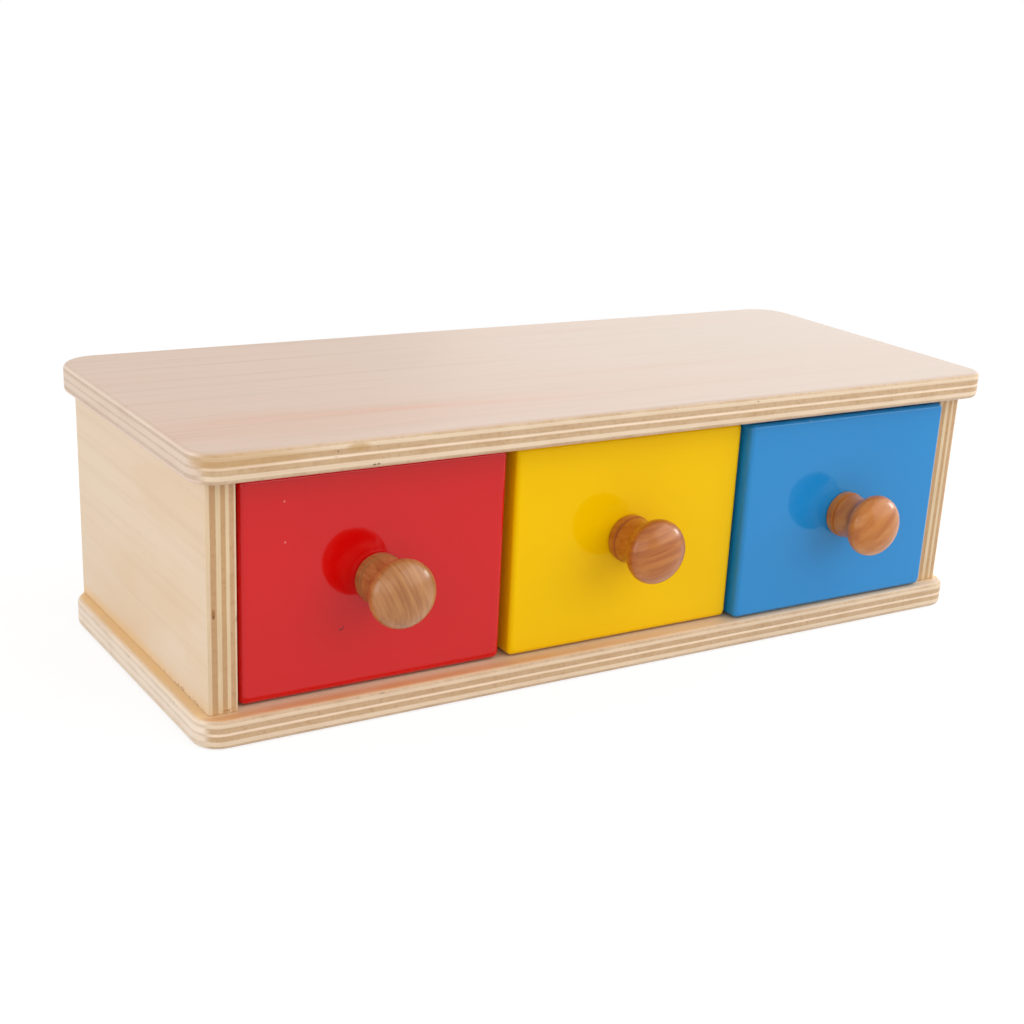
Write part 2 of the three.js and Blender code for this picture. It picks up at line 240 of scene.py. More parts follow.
CREAM = [chip(225, 201, 171), chip(227, 204, 176), chip(239, 215, 188), chip(226, 203, 174),
         chip(227, 204, 177)]
BROWN = [chip(212, 185, 154), chip(201, 170, 134), chip(199, 168, 133), chip(209, 181, 148)]
TOP_END_CREAM = [chip(231, 205, 190), chip(220, 197, 178), chip(220, 197, 178), chip(232, 210, 191)]
TOP_END_BROWN = [chip(213, 190, 169), chip(205, 181, 161), chip(209, 184, 162), chip(204, 179, 157),
                 chip(215, 191, 171)]
BASE_END_CREAM = [chip(235, 217, 196), chip(236, 217, 197), chip(238, 219, 200), chip(240, 218, 194)]
BASE_END_BROWN = [chip(226, 207, 186), chip(222, 203, 181), chip(224, 205, 183), chip(222, 203, 181),
                  chip(230, 206, 178)]
WARM_CREAM = [chip(222, 197, 163), chip(219, 195, 158), chip(221, 197, 161), chip(226, 202, 169)]
WARM_BROWN = [chip(212, 184, 146), chip(190, 151, 108), chip(194, 155, 111), chip(199, 160, 121),
              chip(212, 184, 146)]
PORE_SHADE = chip(160, 122, 82)
FIBRE_SHADE = chip(186, 148, 108)
VOID_SHADE = chip(96, 66, 42)
KNOT_SHADE = chip(180, 136, 70)
EDGE_TAN = chip(190, 150, 98)
# Painted warm bounce light where the sides stand on the base: up the sides' feet and on the ledge beside
# them
PAINTED_WARM_BOUNCE = chip(232, 192, 130)
PAINTED_LIP_BOUNCE = chip(246, 206, 144)
# Painted shade under the drawer fronts, tinted with the red front's reflected colour
PAINTED_RED_BOUNCE_SHADE = chip(212, 148, 84)
JOINT_SHADE = chip(150, 104, 62)
ROSY_SHADE = chip(222, 155, 124)
# Painted sheen: the paler colour that stands for reflected light on the right of the top
PAINTED_SHEEN_SHADE = chip(211, 195, 181)

# Shares of the thickness, from the lower or left face to the other one
BOARD_LAYERS = [0.02, 0.13, 0.15, 0.18, 0.09, 0.19, 0.12, 0.10, 0.02]
SIDE_LAYERS = [0.02, 0.11, 0.19, 0.16, 0.16, 0.12, 0.16, 0.06, 0.02]
WALL_LAYERS = [0.16, 0.22, 0.22, 0.24, 0.16]
SHEET_LAYERS = [0.28, 0.44, 0.28]
LAYER_BLUR = 0.012
LAYER_WANDER = 0.035

# Facing along the layers at which an edge's rounding turns into the face, and the same on the base's ledge
FACE_TURN = (0.6, 0.96)
LEDGE_TURN = (0.7, 0.98)

# Outer veneers: their colour, their flushes with cells along and across the grain, and their streaks
TOP_FACE = {"base": chip(217, 190, 171), "flush": chip(219, 170, 145),
            "flush_cells": (1.4, 22), "streaks": 0.24}
SIDE_FACE = {"base": chip(226, 203, 176), "flush": chip(221, 185, 143),
             "flush_cells": (9, 24), "streaks": 0.13}
INNER_FACE = {"base": chip(229, 206, 174), "flush": chip(219, 182, 144),
              "flush_cells": (2.5, 26), "streaks": 0.22}

# Lacquer on each kind of piece, its haze, the bare wood's sheen and the depth of the grain in metres
TOP_COAT = 0.42
BASE_COAT = 0.4
SIDE_COAT = 0.3
INNER_COAT = 0.1
LACQUER_HAZE = 0.35
WOOD_SHEEN = 0.12
GRAIN_RELIEF = 0.05 * MM

# How far the short ends of the long boards are freed of mottling, and each piece's place in the grain
END_CALM = 0.7
GRAIN_SHIFT = (0.37, 0.23, 0)
GRAIN_SEEDS = {"top_board": 0, "base_board": 1, "side": 2, "back_panel": 4, "divider": 5,
               "drawer_side": 7, "drawer_back": 13, "drawer_bottom": 16}


def layer_stops(shares, colours):
    """Ramp stops that hold each layer's colour over its share of the thickness."""
    stops = []
    start = 0.0
    for share, colour in zip(shares, colours):
        blur = min(LAYER_BLUR, share / 3)
        stops += [(start + blur, colour), (start + share - blur, colour)]
        start += share
    return stops


def every_second(even, odd, count):
    """Colours of the layers, in turn from two lists."""
    lists = (even, odd)
    return [lists[i % 2][i // 2 % len(lists[i % 2])] for i in range(count)]


def plywood(name, axes, span, shares, face, seed,
            end_tones=(WARM_BROWN, WARM_CREAM), calm=0.0, coat=INNER_COAT, extras=()):
    """Plywood. axes names the directions along the face grain, across it and through the layers; span is
    the lowest and highest place through the layers; calm takes the mottling off the ends; extras each work
    their own mark into the colour."""
    material, start, place = new_finish(name)
    spot = parts_of(place, axes[0])
    through = spot.other(axes[2])
    board = start.node("ShaderNodeCombineXYZ", {}, {"X": spot, "Y": spot.other(axes[1]), "Z": through})
    board = shifted(board, [seed * part for part in GRAIN_SHIFT])
    endways = facing(start, axes[0])
    flat = band(abs(endways.other(axes[2])), *FACE_TURN)
    at_end = band(abs(endways) - abs(endways.other(axes[1])), -0.3, 0.3)

    low, high = span
    count = len(shares)
    wander = noise(board, (12, 12, 0), 2.0) - 0.5
    depth = (through - low) * (1 / (high - low)) + wander * LAYER_WANDER
    cross = ramp(depth, layer_stops(shares, every_second([(0, 0, 0, 1)], [(1, 1, 1, 1)], count)))
    long_edge = ramp(depth, layer_stops(shares, every_second(CREAM, BROWN, count)))
    short_edge = ramp(depth, layer_stops(shares, every_second(*end_tones, count)))
    edge = blend(at_end, long_edge, short_edge)
    end_grain = (cross + at_end - 2 * cross * at_end) * (1 - calm * at_end)

    fibre_along = noise(board, (13, 520, 520), 4.0, 0.6)
    fibre_across = noise(board, (520, 13, 520), 4.0, 0.6)
    fibre = fibre_along + (fibre_across - fibre_along) * cross
    clouds = noise(board, (75, 75, 330), 2.5, 0.55)
    edge = blend(band(clouds, 0.4, 0.72) * (0.12 + 0.4 * end_grain), edge, FIBRE_SHADE)
    edge = blend(band(fibre, 0.45, 0.72) * (0.12 + 0.2 * end_grain), edge, PORE_SHADE)
    voids = band(noise(board, (60, 60, 520), 3.0, 0.65, shift=(3, 1, 0)), 0.7, 0.76)
    edge = blend(voids * 0.6, edge, VOID_SHADE)

    along, across = face["flush_cells"]
    flush = noise(board, (along, across, across), 2.5, distortion=0.4, shift=(0.4, 0.7, 0))
    veneer = blend(band(flush, 0.42, 0.72) * 0.5, face["base"], face["flush"])
    streaks = noise(board, (7, 260, 260), 3.0, 0.55, distortion=0.3)
    veneer = blend(band(streaks, 0.45, 0.75) * face["streaks"], veneer, FIBRE_SHADE)
    flecks = noise(board, (110, 1300, 1300), 2.0, 0.6)
    veneer = blend(band(flecks, 0.64, 0.74) * (face["streaks"] * 1.2), veneer, FIBRE_SHADE)
    wood = blend(flat, edge, veneer)
    for extra in extras:
        wood = extra(place, wood)

    roughness = 0.46 + 0.12 * fibre + 0.08 * end_grain * (1 - flat)
    height = fibre * (0.7 - 0.4 * flat) - voids * (1 - flat) * 1.5
    return finish_with(start, material, wood, roughness, height, GRAIN_RELIEF, {
        "Specular IOR Level": WOOD_SHEEN, "Coat Weight": coat, "Coat Roughness": LACQUER_HAZE})


# Reach in metres of the painted bounce light, the painted ledge shade and the pits: in from the base's
# ends, past the sides' front, along the ledge, up from the base, and along the sides to where the pits
# fade out; then how strong the pits are
LIP_BOUNCE_REACH = (2.6 * MM, 0.4 * MM)
LEDGE_LIGHT_REACH = (3 * MM, 2 * MM)
RED_BOUNCE_FADE = (-100 * MM, 100 * MM)
BOUNCE_HEIGHT = 6 * MM
LINE_HEIGHT = (0.2 * MM, 0.8 * MM)
PIT_HEIGHT = (0.7 * MM, 2.2 * MM)
PIT_FADE = (-45 * MM, 5 * MM)
PITTING = {"left_side": 0.85, "right_side": 0.12}


def painted_ledge_light(side, base):
    """Painted light on the base's ledge: warm bounce light beside each side, and shade with the red
    front's reflected colour ahead of the drawers to the left.
    """
    def recolour(place, wood):
        spot = parts_of(place)
        reach = abs(spot)
        upward = band(facing(place, "Z"), *LEDGE_TURN)
        patchy = noise(place, (60, 40, 60), 3.0)
        within = 1 - band(reach, base[1].x - LIP_BOUNCE_REACH[0], base[1].x - LIP_BOUNCE_REACH[1])
        beside = within * band(reach, side[0].x, side[1].x)
        behind = band(spot.other("Y"), side[0].y - LEDGE_LIGHT_REACH[0], side[0].y + LEDGE_LIGHT_REACH[1])
        # painted warm bounce light on the ledge beside each side
        wood = blend(beside * behind * upward * (0.45 + 0.5 * patchy), wood, PAINTED_LIP_BOUNCE)
        # painted shade and red reflection on the ledge ahead of the drawers, fading out to the right
        ledge = (1 - behind) * (1 - band(spot, *RED_BOUNCE_FADE))
        return blend(ledge * upward * (0.45 + 0.5 * patchy), wood, PAINTED_RED_BOUNCE_SHADE)
    return recolour


def foot_bounce_and_joint(level, pitting):
    """Painted warm bounce light and a fine dark joint line where a side stands on the base, with pits
    towards its front.
    """
    def recolour(place, wood):
        height = parts_of(place, "Z")
        nearer = 1 - band(height.other("Y"), *PIT_FADE)
        ragged = noise(place, (10, 300, 300), 4.0, 0.65)
        soft = 1 - band(height, level, level + BOUNCE_HEIGHT)
        # painted warm bounce light up the side's foot, weaker towards its front
        wood = blend(soft * (0.3 + 0.5 * ragged) * (1 - 0.6 * nearer), wood, PAINTED_WARM_BOUNCE)
        line = 1 - band(height, level + LINE_HEIGHT[0], level + LINE_HEIGHT[1])
        wood = blend(line * (0.1 + 0.45 * ragged), wood, JOINT_SHADE)
        pits = band(noise(place, (200, 500, 500), 3.0, 0.7), 0.54, 0.64) * nearer
        lowest = 1 - band(height, level + PIT_HEIGHT[0], level + PIT_HEIGHT[1])
        return blend(pits * lowest * pitting, wood, JOINT_SHADE)
    return recolour


# Where the top's veneer turns paler in a painted sheen of reflected light, in metres from the middle, and
# how far it does
PAINTED_SHEEN_FADE = (-200 * MM, 200 * MM)
PAINTED_SHEEN_SHARE = 0.7


def painted_sheen_end(place, wood):
    """Veneer that turns from rosy at the left to paler at the right: a painted sheen that stands for
    reflected light.
    """
    upward = band(facing(place, "Z"), *FACE_TURN)
    return blend(band(parts_of(place), *PAINTED_SHEEN_FADE) * upward * PAINTED_SHEEN_SHARE, wood, PAINTED_SHEEN_SHADE)


def edge_marks(marks):
    """Knots, gaps and lines: each a place, half sizes, a colour, a share and maybe degrees of slant."""
    def recolour(place, wood):
        for centre, reach, colour, share, *slant in marks:
            wood = blend(mark(place, centre, reach, *slant) * share, wood, colour)
        return wood
    return recolour


# Marks listed one by one, with places and half sizes in metres
TOP_MARKS = [
    ((-0.1700, -0.0735, 0.1046), (0.0480, 0.0080, 0.0036), EDGE_TAN, 0.6),
    ((-0.1217, -0.0750, 0.1050), (0.0062, 0.0040, 0.0021), KNOT_SHADE, 0.55),
    ((-0.1157, -0.0750, 0.0981), (0.0009, 0.0040, 0.0006), VOID_SHADE, 0.8),
    ((-0.1142, -0.0750, 0.0982), (0.0008, 0.0040, 0.0006), VOID_SHADE, 0.8),
    ((-0.1296, -0.0750, 0.1042), (0.0005, 0.0040, 0.0006), VOID_SHADE, 0.6),
    ((0.0520, -0.0750, 0.1058), (0.0007, 0.0040, 0.0005), VOID_SHADE, 0.5),
]
SIDE_MARKS = [
    ((-0.1712, -0.0660, 0.0488), (0.0009, 0.0030, 0.0026), JOINT_SHADE, 0.9),
    ((-0.1712, -0.0660, 0.0476), (0.0006, 0.0030, 0.0010), VOID_SHADE, 0.6),
]
ROSY_LINES = [
    ((-0.1180, -0.0408, 0.1076), (0.0850, 0.0055, 0.0100), ROSY_SHADE, 0.19, -2),
    ((-0.0700, -0.0440, 0.1076), (0.0750, 0.0034, 0.0100), ROSY_SHADE, 0.18, -5),
    ((-0.1400, -0.0340, 0.1076), (0.0350, 0.0050, 0.0100), ROSY_SHADE, 0.10, -2),
]


# Gloss paint on the drawer fronts, with the back left as bare wood

BARE_BACK = chip(226, 203, 172)
# Light nibs: dust in the paint, partly painted glints that the nibs catch
DUST_AND_GLINT = chip(255, 232, 226)
# Painted shade inside small dents: dark specks on the red front
DENT_PAINTED_SHADE = chip(70, 16, 16)
NIB_CELLS = 75.0
NIB_SHARE = 0.22
PAINT_SHIFT = (0.61, 0, 0.29)
PAINT_SHEEN = 0.39
PAINT_RELIEF = 0.012 * MM
RAGGED_REACH = 1.2 * MM
BARE_EDGE = (0.6 * MM, 0.1 * MM)


def gloss_paint(name, colour, deep, rear, seed, tint=(1, 1, 1, 1), flaws=()):
    """Sprayed gloss paint with light dust nibs, partly painted glints, and a faint texture. It stops at
    the rear, where wood is bare.
    """
    material, start, place = new_finish(name)
    at = shifted(place, [seed * part for part in PAINT_SHIFT])
    coat = blend(band(noise(at, (16, 16, 16)), 0.35, 0.75) * 0.4, colour, deep)
    cells = start.node("ShaderNodeTexVoronoi", {"feature": "F1"}, {"Vector": at, "Scale": NIB_CELLS},
                       out="Distance")
    size = start.node("ShaderNodeSeparateColor", {}, {"Color": cells.other("Color")})
    nibs = (1 - band(cells, 0.010, 0.030)) * band(size, 0.55, 0.7)
    # light nibs: dust with painted glints
    coat = blend(nibs * NIB_SHARE, coat, DUST_AND_GLINT)
    for centre, reach, shade, share in flaws:
        coat = blend(mark(place, centre, reach) * share, coat, shade)
    ragged = noise(at, (120, 120, 120)) - 0.5
    depth = parts_of(place, "Y") + ragged * RAGGED_REACH
    bare = band(depth, rear - BARE_EDGE[0], rear - BARE_EDGE[1])
    fibre = noise(at, (13, 600, 600), 4.0, 0.6)
    back = blend(band(fibre, 0.45, 0.75) * 0.4, BARE_BACK, FIBRE_SHADE)
    peel = noise(at, (240, 240, 240), 2.0)
    brushed = noise(at, (60, 700, 700), 2.0, 0.55)
    roughness = 0.05 + 0.04 * brushed + bare * 0.45
    height = peel * 0.5 + brushed * 0.2 + nibs * 2.5 + bare * fibre * 3.0
    return finish_with(start, material, blend(bare, coat, back), roughness, height, PAINT_RELIEF, {
        "Specular IOR Level": PAINT_SHEEN, "Specular Tint": tint})


# Turned hardwood and screw steel

KNOB_SHEEN = 0.25
KNOB_COAT = 0.6
KNOB_HAZE = 0.19
KNOB_RELIEF = 0.02 * MM
KNOB_SHIFT = (0.13, 0.07, 0.19)
FIBRE_TILT = (0.25, 0.1)
# Reach about the groove of its painted shade and duller lacquer, in metres
GROOVE_SHADE_LINE = (0.5 * MM, 1.1 * MM)
DOWEL_LIGHT = chip(214, 171, 118)
DOWEL_DARK = chip(176, 128, 78)
ZINC_LIGHT = chip(206, 207, 210)
ZINC_DARK = chip(174, 173, 168)
TURNING_MARKS = 30000.0
PLATING_RELIEF = 0.012 * MM


def knob_wood(name, centre, groove, grain, stripes, mottle, tones, marks, seed):
    """Lacquered hardwood with soft growth bands, darkened with painted shade and duller at the groove
    above its foot. grain is the turn of the fibres about the knob's axis, stripes how many bands lie in a
    metre, mottle how strong the dark patches are; marks are dark places along the fibres, towards the
    front and across."""
    light, mid, dark = tones
    material, start, place = new_finish(name)
    local = shifted(place, -Vector(centre))
    fibres = turned(local, (FIBRE_TILT[0], math.radians(grain), FIBRE_TILT[1]))
    blank = shifted(fibres, [seed * part for part in KNOB_SHIFT])
    bands = noise(blank, (26, 120, stripes), 2.5, distortion=0.5)
    wood = ramp(bands, [(0.34, light), (0.5, mid), (0.66, dark)])
    clouds = noise(blank, (170, 170, 260), 3.0, 0.6)
    wood = blend(band(clouds, 0.45, 0.7) * mottle, wood, dark)
    streaks = noise(blank, (90, 900, 1500), 3.0, 0.6)
    wood = blend(band(streaks, 0.48, 0.72) * 0.35, wood, dark)
    for spot, reach, share in marks:
        wood = blend(mark(fibres, spot, reach) * share, wood, dark)
    # painted shade in the groove above the foot, with duller lacquer there too
    groove_shade_and_dull = 1 - band(abs(parts_of(place, "Y") - groove), *GROOVE_SHADE_LINE)
    wood = blend(groove_shade_and_dull * 0.6, wood, dark)
    roughness = 0.3 + 0.12 * streaks + 0.3 * groove_shade_and_dull
    return finish_with(start, material, wood, roughness, streaks, KNOB_RELIEF, {
        "Specular IOR Level": KNOB_SHEEN, "Coat Weight": KNOB_COAT - KNOB_COAT * groove_shade_and_dull,
        "Coat Roughness": KNOB_HAZE})


def dowel_wood(name):
    """Plain hardwood with fibres along the dowel."""
    material, start, place = new_finish(name)
    fibre = noise(place, (700, 700, 30), 4.0, 0.6)
    wood = ramp(fibre, [(0.35, DOWEL_LIGHT), (0.7, DOWEL_DARK)])
    return finish_with(start, material, wood, 0.5 + 0.2 * fibre, fibre, GRAIN_RELIEF, {})


def zinc_steel(name, centre):
    """Plated screw with fine turning marks round its axis and a mottled plating."""
    material, start, place = new_finish(name)
    local = shifted(place, -Vector(centre))
    spot = parts_of(local)
    radius = (spot ** 2.0 + spot.other("Z") ** 2.0) ** 0.5
    rings = start.node("ShaderNodeMath", {"operation": "SINE"}, {0: radius * TURNING_MARKS})
    mottle = noise(local, (900, 900, 900))
    plate = blend(band(mottle, 0.35, 0.75), ZINC_LIGHT, ZINC_DARK)
    roughness = 0.24 + 0.18 * mottle
    height = rings * 0.4 + mottle
    return finish_with(start, material, plate, roughness, height, PLATING_RELIEF, {"Metallic": 1.0})


# Modelling by hand: primitives, edit mode and applied modifiers

def only(piece):
    """Selects one piece and nothing else."""
    bpy.ops.object.select_all(action="DESELECT")
    piece.select_set(True)
    bpy.context.view_layer.objects.active = piece


def placed(name):
    """Names the primitive just added and puts its place into its mesh."""
    piece = bpy.context.object
    only(piece)
    bpy.ops.object.transform_apply(location=True, rotation=True, scale=True)
    piece.name = piece.data.name = name
    return piece


def block(name, low, high):
    """Block between two corners."""
    bpy.ops.object.select_all(action="DESELECT")
    bpy.ops.mesh.primitive_cube_add(size=1, location=(low + high) / 2, scale=high - low)
    return placed(name)


def rod(name, centre, radius, length, axis):
    """Round rod about its centre, along Y or Z."""
    bpy.ops.object.select_all(action="DESELECT")
    turn = (QUARTER, 0, 0) if axis == "Y" else (0, 0, 0)
    bpy.ops.mesh.primitive_cylinder_add(vertices=ROD_SIDES, radius=radius, depth=length,
                                        location=centre, rotation=turn)
    return placed(name)


def copy_of(piece, name, move):
    """Copy of a piece with a mesh of its own, moved to its place."""
    only(piece)
    bpy.ops.object.duplicate(linked=False)
    bpy.context.object.location = move
    return placed(name)


def repeated(nodes, ending, model):
    """Models a piece at the first node and copies it to the places of the others."""
    first = model(f"{nodes[0]}_{ending}", *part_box(nodes[0]))
    pieces = {nodes[0]: first}
    for node in nodes[1:]:
        pieces[node] = copy_of(first, f"{node}_{ending}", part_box(node)[0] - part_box(nodes[0])[0])
    return pieces


def pick(piece, kind, test):
    """In edit mode, selects the faces or edges that pass the test."""
    only(piece)
    bpy.ops.object.mode_set(mode="EDIT")
    bpy.ops.mesh.select_mode(type=kind)
    bpy.ops.mesh.select_all(action="DESELECT")
    mesh = bmesh.from_edit_mesh(piece.data)
    for item in mesh.edges if kind == "EDGE" else mesh.faces:
        item.select_set(test(item))
    bmesh.update_edit_mesh(piece.data)


def round_edges(piece, radius, steps, test):
    """Rounds the edges that pass the test."""
    pick(piece, "EDGE", test)
    bpy.ops.mesh.bevel(offset=radius, segments=steps, affect="EDGES")
    bpy.ops.object.mode_set(mode="OBJECT")


def runs_along(edge, axis):
    """Whether an edge runs along an axis."""
    line = (edge.verts[1].co - edge.verts[0].co).normalized()
    return abs(line["XYZ".index(axis)]) > ALIGNED


def middle(edge):
    """The middle of an edge."""
    return (edge.verts[0].co + edge.verts[1].co) / 2


def borders(edge, axis, sign=0):
    """Whether an edge lies between a face that looks along an axis, maybe to one side only, and one that
    looks aside."""
    looks = [face.normal["XYZ".index(axis)] for face in edge.link_faces]
    along = [look for look in looks if (look * sign if sign else abs(look)) > ALIGNED]
    beside = [look for look in looks if abs(look) < ASIDE]
    return len(along) == 1 and len(beside) == 1


def cut(piece, cutters):
    """Takes the cutters out of a piece."""
    only(cutters[0])
    for cutter in cutters:
        cutter.select_set(True)
    if len(cutters) > 1:
        bpy.ops.object.join()
    cutter = bpy.context.object
    only(piece)
    modifier = piece.modifiers.new("cut", "BOOLEAN")
    modifier.operation = "DIFFERENCE"
    modifier.solver = "EXACT"
    modifier.object = cutter
    bpy.ops.object.modifier_apply(modifier=modifier.name)
    bpy.data.objects.remove(cutter)


def seat(node, low=(0, 0, 0), high=(0, 0, 0)):
    """Cutter for the place that another node fills, with a gap round it. low and high move sides out."""
    first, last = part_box(node)
    gap = Vector((SEAT_GAP, SEAT_GAP, SEAT_GAP))
    return block("cutter", first - gap - Vector(low), last + gap + Vector(high))


def dowel_seats(word):
    """Cutters for the dowels with a word in their names."""
    cutters = []
    for node in DOWELS:
        if word in node:
            first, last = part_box(node)
            size = last - first
            radius, length = size.x / 2 + DOWEL_GAP, size.z + 2 * DOWEL_GAP
            cutters.append(rod("cutter", (first + last) / 2, radius, length, "Z"))
    return cutters


def smooth(piece):
    """Smooth shading that keeps flat faces flat and cut edges crisp."""
    only(piece)
    bpy.ops.object.shade_smooth_by_angle(angle=SMOOTH_ANGLE)
    modifier = piece.modifiers.new("flat faces", "WEIGHTED_NORMAL")
    modifier.keep_sharp = True
    bpy.ops.object.modifier_apply(modifier=modifier.name)


def stand_for(piece, node, material):
    """Gives a modelled piece its finish and puts it in the place of its node."""
    smooth(piece)
    piece.data.materials.clear()
    piece.data.materials.append(material)
    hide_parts(node)
    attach(piece, BODY_OF[node])


def spans(node, axis):
    """Where a node starts and ends along an axis."""
    low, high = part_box(node)
    index = "XYZ".index(axis)
    return low[index], high[index]


# Blanks of the boards and panels

def long_board(name, low, high):
    """Long board: round corners in plan, both edges rounded over."""
    piece = block(name, low, high)
    half = (low.y + high.y) / 2
    rear = high.y - RUN_OUT
    round_edges(piece, FRONT_CORNER, FRONT_CORNER_STEPS,
                lambda e: runs_along(e, "Z") and middle(e).y < half)
    round_edges(piece, REAR_CORNER, REAR_CORNER_STEPS,
                lambda e: runs_along(e, "Z") and middle(e).y > rear)
    round_edges(piece, BOARD_ROUND, BOARD_ROUND_STEPS, lambda e: borders(e, "Z"))
    return piece


def upright_panel(name, low, high):
    """Side or divider with its upright edges eased."""
    piece = block(name, low, high)
    round_edges(piece, EASE, PANEL_EASE_STEPS, lambda e: runs_along(e, "Z"))
    return piece


def back_sheet(name, low, high):
    """Back panel with the edges of both faces eased."""
    piece = block(name, low, high)
    round_edges(piece, FINE_EASE, FINE_STEPS, lambda e: borders(e, "Y"))
    return piece


def bottom_sheet(name, low, high):
    """Drawer bottom with the edges of both faces eased."""
    piece = block(name, low, high)
    round_edges(piece, FINE_EASE, FINE_STEPS, lambda e: borders(e, "Z"))
    return piece


def side_wall(name, low, high):
    """Drawer side wall: rounded top edges and an eased foot."""
    piece = block(name, low, high)
    half = (low.z + high.z) / 2
    foot = low.z + RUN_OUT
    round_edges(piece, WALL_TOP_ROUND, SMALL_ROUND_STEPS,
                lambda e: runs_along(e, "Y") and middle(e).z > half)
    round_edges(piece, EASE, FINE_STEPS, lambda e: runs_along(e, "Y") and middle(e).z < foot)
    return piece


def back_wall(name, low, high):
    """Drawer back wall with its top edges eased."""
    piece = block(name, low, high)
    round_edges(piece, EASE, FINE_STEPS, lambda e: runs_along(e, "X") and borders(e, "Z", 1))
    return piece


def drawer_front(name, low, high):
    """Drawer front: small round corners and a quarter round all about its face."""
    centre = (low + high) / 2
    size = high - low
    piece = block(name, Vector((low.x, low.y + FRONT_ROUND, low.z)), high)
    round_edges(piece, FRONT_CORNER_ROUND, SMALL_ROUND_STEPS, lambda e: runs_along(e, "Y"))
    pick(piece, "FACE", lambda f: f.normal.y < -ALIGNED)
    inset, along = 0.0, 0.0
    for step in range(1, FRONT_ROUND_STEPS + 1):
        angle = step / FRONT_ROUND_STEPS * QUARTER
        next_inset = FRONT_ROUND * (1 - math.cos(angle))
        next_along = FRONT_ROUND * math.sin(angle)
        bpy.ops.mesh.extrude_region_move(TRANSFORM_OT_translate={"value": (0, along - next_along, 0)})
        wide = (size.x - 2 * next_inset) / (size.x - 2 * inset)
        tall = (size.z - 2 * next_inset) / (size.z - 2 * inset)
        bpy.ops.transform.resize(value=(wide, 1, tall), center_override=centre)
        inset, along = next_inset, next_along
    bpy.ops.object.mode_set(mode="OBJECT")
    return piece


# Turned pieces: knob and screw, with profiles of radius and height in millimetres

KNOB_PILOT = (2.3, 12.3)
KNOB_FOOT_RADIUS = 9.6
KNOB_FOOT_THICKNESS = 4.0
KNOB_FOOT_ROUND = 0.8
KNOB_GROOVE_WIDTH = 0.6
KNOB_NECK_RADIUS = 9.4
KNOB_NECK_LENGTH = 6.0
KNOB_WAIST_RADIUS = 8.7
KNOB_FLARE_LENGTH = 8.1
KNOB_HEAD_RADIUS = 12.9
KNOB_DOME_HEIGHT = 7.7
KNOB_STEPS = 80
SCREW_HEAD = (4.2, 2.6)
SCREW_SHANK = 2.0
SCREW_PLAIN = 5.0
SCREW_POINT = 3.0
SCREW_STEPS = 40
THREAD_PITCH = 1.4
THREAD_DEPTH = 0.35

# Half sizes and depth of the screw's cross recess, in metres
RECESS_LONG = 2.3 * MM
RECESS_WIDE = 0.5 * MM
RECESS_DEEP = 1.5 * MM

# Steps in the curves of the profiles
FOOT_STEPS = 6
NECK_STEPS = 8
FLARE_STEPS = 16
DOME_STEPS = 18
SCREW_HEAD_STEPS = 10


def arc(centre, radius, first, last, steps):
    """Points on an arc from one angle to another."""
    angles = [first + (last - first) * step / steps for step in range(steps + 1)]
    return [(centre[0] + radius * math.cos(a), centre[1] + radius * math.sin(a)) for a in angles]


def sweep(pulls, steps):
    """Points on the smooth curve that starts and ends at the first and last pull."""
    points = []
    for step in range(steps + 1):
        row = [Vector(pull) for pull in pulls]
        while len(row) > 1:
            row = [a.lerp(b, step / steps) for a, b in zip(row, row[1:])]
        points.append(tuple(row[0]))
    return points


def knob_profile():
    """Foot ring, fine groove, neck, waist, flare and oval dome, with a pilot hole for the screw."""
    neck = KNOB_FOOT_THICKNESS + KNOB_GROOVE_WIDTH
    waist = neck + KNOB_NECK_LENGTH
    widest = waist + KNOB_FLARE_LENGTH
    ring = KNOB_FOOT_RADIUS - KNOB_FOOT_ROUND
    points = [(0, KNOB_PILOT[1]), KNOB_PILOT, (KNOB_PILOT[0], 0)]
    shoulder = KNOB_FOOT_THICKNESS - KNOB_FOOT_ROUND
    points += arc((ring, KNOB_FOOT_ROUND), KNOB_FOOT_ROUND, -QUARTER, 0, FOOT_STEPS)
    points += arc((ring, shoulder), KNOB_FOOT_ROUND, 0, QUARTER, FOOT_STEPS)
    points += sweep([(KNOB_NECK_RADIUS, neck), (KNOB_WAIST_RADIUS, (neck + waist) / 2),
                     (KNOB_WAIST_RADIUS, waist)], NECK_STEPS)
    halfway = (waist + widest) / 2
    points += sweep([(KNOB_WAIST_RADIUS, waist), (KNOB_WAIST_RADIUS, halfway),
                     (KNOB_HEAD_RADIUS, halfway), (KNOB_HEAD_RADIUS, widest)], FLARE_STEPS)
    dome = arc((0, 0), 1, 0, QUARTER, DOME_STEPS)[1:-1]
    points += [(KNOB_HEAD_RADIUS * x, widest + KNOB_DOME_HEIGHT * y) for x, y in dome]
    return points + [(0, widest + KNOB_DOME_HEIGHT)]


def screw_profile(length):
    """Domed head behind the drawer front, shank through it and a ribbed thread to the point."""
    head = arc((0, 0), 1, -QUARTER, 0, SCREW_HEAD_STEPS)
    points = [(SCREW_HEAD[0] * x, SCREW_HEAD[1] * y) for x, y in head]
    points[0] = (0, -SCREW_HEAD[1])
    points.append((SCREW_SHANK, 0))
    height = SCREW_PLAIN
    while height < length - SCREW_POINT - THREAD_PITCH:
        points += [(SCREW_SHANK, height), (SCREW_SHANK - THREAD_DEPTH, height + THREAD_PITCH / 2)]
        height += THREAD_PITCH
    return points + [(SCREW_SHANK, length - SCREW_POINT), (0, length)]


